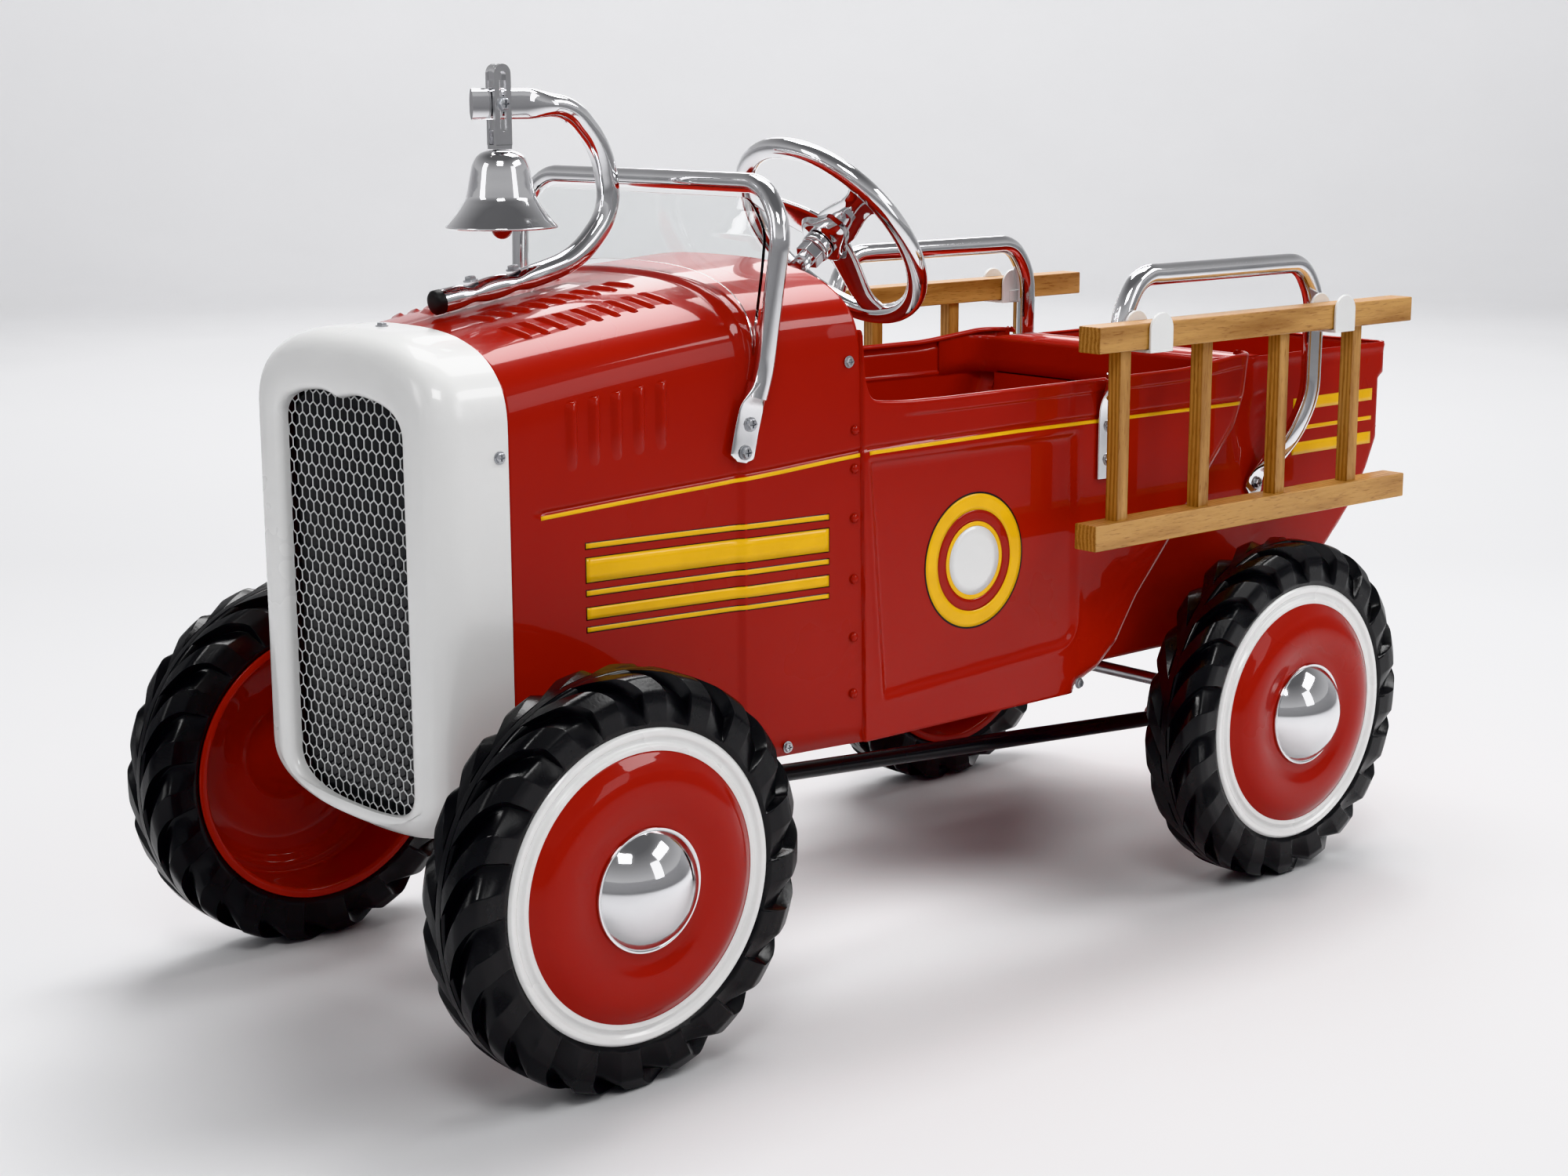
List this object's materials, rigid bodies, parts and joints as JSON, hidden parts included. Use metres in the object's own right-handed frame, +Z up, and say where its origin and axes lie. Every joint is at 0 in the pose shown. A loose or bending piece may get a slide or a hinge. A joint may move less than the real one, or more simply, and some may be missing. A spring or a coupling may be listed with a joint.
{
  "type": "pedal car",
  "caption": "Steel pedal fire engine with lugged tyres, working steering, hanging pedals on a cranked rear axle, bell, windshield, grab rails and lift-off wooden ladders.",
  "frame": {"origin": "on the floor under the middle of the whole car (centre of the bounding box base)", "axes": "-Y is the way the car drives, +X is the car's left side, +Z is up"},
  "size_m": [0.5814, 1.205, 0.757],
  "materials": {
    "red_paint": "glossy enamel",
    "white_paint": "glossy enamel",
    "mesh_steel": "bright expanded mesh",
    "black_paint": "semi-gloss",
    "zinc_steel": "bright zinc plate",
    "chrome": "polished chrome plate",
    "clear_sheet": "clear acrylic sheet",
    "bush_plastic": "moulded black",
    "bronze": "plain sintered bush",
    "pedal_rubber": "moulded black rubber",
    "tyre_rubber": "moulded black rubber",
    "oak": "clear satin varnish"
  },
  "bodies": {
    "chassis": {"radiator_shell": "white_paint", "grille_mesh": "mesh_steel", "front_body": "red_paint", "side_panel_left": "red_paint", "side_panel_right": "red_paint", "bed_side_left": "red_paint", "bed_side_right": "red_paint", "tail_panel": "red_paint", "bed_floor": "red_paint", "seat_back": "red_paint", "seat_pan": "red_paint", "dash_panel": "red_paint", "front_axle_bracket": "black_paint", "front_axle_beam": "black_paint", "kingpins": "zinc_steel", "column_bush": "bush_plastic", "steering_bracket": "black_paint", "pedal_pivot_rod": "zinc_steel", "axle_hangers": "black_paint", "axle_bushes": "bronze", "windshield_frame": "chrome", "windshield_pane": "clear_sheet", "bell_arm": "chrome", "arm_plug": "bush_plastic", "grab_rail_left": "chrome", "grab_rail_right": "chrome", "ladder_cradles": "white_paint", "body_bolts": "zinc_steel", "rivets": "red_paint"},
    "steering": {"steering_column": "chrome", "steering_wheel": "chrome", "steering_nut": "chrome"},
    "left_knuckle": {"knuckle_left": "zinc_steel"},
    "right_knuckle": {"knuckle_right": "zinc_steel"},
    "tie_rod": {"tie_rod": "black_paint"},
    "front_left_wheel": {"tyre_front_left": "tyre_rubber", "wheel_front_left": "red_paint", "hubcap_front_left": "chrome"},
    "front_right_wheel": {"tyre_front_right": "tyre_rubber", "wheel_front_right": "red_paint", "hubcap_front_right": "chrome"},
    "rear_axle": {"rear_axle": "zinc_steel", "tyre_rear_left": "tyre_rubber", "wheel_rear_left": "red_paint", "hubcap_rear_left": "chrome"},
    "rear_right_wheel": {"tyre_rear_right": "tyre_rubber", "wheel_rear_right": "red_paint", "hubcap_rear_right": "chrome"},
    "left_push_rod": {"push_rod_left": "black_paint"},
    "right_push_rod": {"push_rod_right": "black_paint"},
    "left_pedal": {"pedal_lever_left": "black_paint", "pedal_pad_left": "pedal_rubber"},
    "right_pedal": {"pedal_lever_right": "black_paint", "pedal_pad_right": "pedal_rubber"},
    "bell": {"bell": "chrome", "bell_strap": "chrome"},
    "clapper": {"clapper": "chrome"},
    "left_ladder": {"ladder_left": "oak"},
    "right_ladder": {"ladder_right": "oak"}
  },
  "joints": [
    {"name": "steering_turn", "type": "hinge", "parent": "chassis", "child": "steering", "pos_m": [0, -0.0245, 0.611], "axis": [0, 0.7965, 0.6046], "range_deg": [-15, 15]},
    {"name": "left_knuckle_turn", "type": "hinge", "parent": "chassis", "child": "left_knuckle", "pos_m": [0.165, -0.4425, 0.16], "axis": [0, 0, 1], "range_deg": [-15, 15]},
    {"name": "right_knuckle_turn", "type": "hinge", "parent": "chassis", "child": "right_knuckle", "pos_m": [-0.165, -0.4425, 0.16], "axis": [0, 0, 1], "range_deg": [-15, 15]},
    {"name": "tie_rod_turn", "type": "hinge", "parent": "left_knuckle", "child": "tie_rod", "pos_m": [0.165, -0.3825, 0.1653], "axis": [0, 0, 1], "range_deg": [-15, 15]},
    {"name": "front_left_spin", "type": "hinge", "parent": "left_knuckle", "child": "front_left_wheel", "pos_m": [0.227, -0.4425, 0.16], "axis": [1, 0, 0], "continuous": true},
    {"name": "front_right_spin", "type": "hinge", "parent": "right_knuckle", "child": "front_right_wheel", "pos_m": [-0.227, -0.4425, 0.16], "axis": [1, 0, 0], "continuous": true},
    {"name": "rear_axle_spin", "type": "hinge", "parent": "chassis", "child": "rear_axle", "pos_m": [0, 0.3375, 0.16], "axis": [1, 0, 0], "continuous": true},
    {"name": "rear_right_spin", "type": "hinge", "parent": "rear_axle", "child": "rear_right_wheel", "pos_m": [-0.227, 0.3375, 0.16], "axis": [1, 0, 0], "continuous": true},
    {"name": "left_push_rod_turn", "type": "hinge", "parent": "rear_axle", "child": "left_push_rod", "pos_m": [0.113, 0.31049, 0.13299], "axis": [1, 0, 0], "continuous": true},
    {"name": "right_push_rod_turn", "type": "hinge", "parent": "rear_axle", "child": "right_push_rod", "pos_m": [-0.113, 0.36451, 0.18701], "axis": [1, 0, 0], "continuous": true},
    {"name": "left_pedal_swing", "type": "hinge", "parent": "chassis", "child": "left_pedal", "pos_m": [0.102, -0.3125, 0.44], "axis": [1, 0, 0], "range_deg": [-2.5, 14]},
    {"name": "right_pedal_swing", "type": "hinge", "parent": "chassis", "child": "right_pedal", "pos_m": [-0.102, -0.3125, 0.44], "axis": [1, 0, 0], "range_deg": [-14, 2.5]},
    {"name": "bell_swing", "type": "hinge", "parent": "chassis", "child": "bell", "pos_m": [0, -0.3755, 0.726], "axis": [1, 0, 0], "range_deg": [-20, 20]},
    {"name": "clapper_swing", "type": "hinge", "parent": "bell", "child": "clapper", "pos_m": [0, -0.3755, 0.683], "axis": [1, 0, 0], "range_deg": [-24, 24]},
    {"name": "left_ladder_lift", "type": "slide", "parent": "chassis", "child": "left_ladder", "axis": [0, 0, 1], "range_m": [0, 0.04]},
    {"name": "right_ladder_lift", "type": "slide", "parent": "chassis", "child": "right_ladder", "axis": [0, 0, 1], "range_m": [0, 0.04]}
  ],
  "couplings": [
    {"joint": "left_knuckle_turn", "follows": "steering_turn", "ratio": 1},
    {"joint": "right_knuckle_turn", "follows": "steering_turn", "ratio": 1},
    {"joint": "tie_rod_turn", "follows": "steering_turn", "ratio": -1},
    {"joint": "left_push_rod_turn", "follows": "rear_axle_spin", "ratio": -1},
    {"joint": "right_push_rod_turn", "follows": "rear_axle_spin", "ratio": -1}
  ]
}
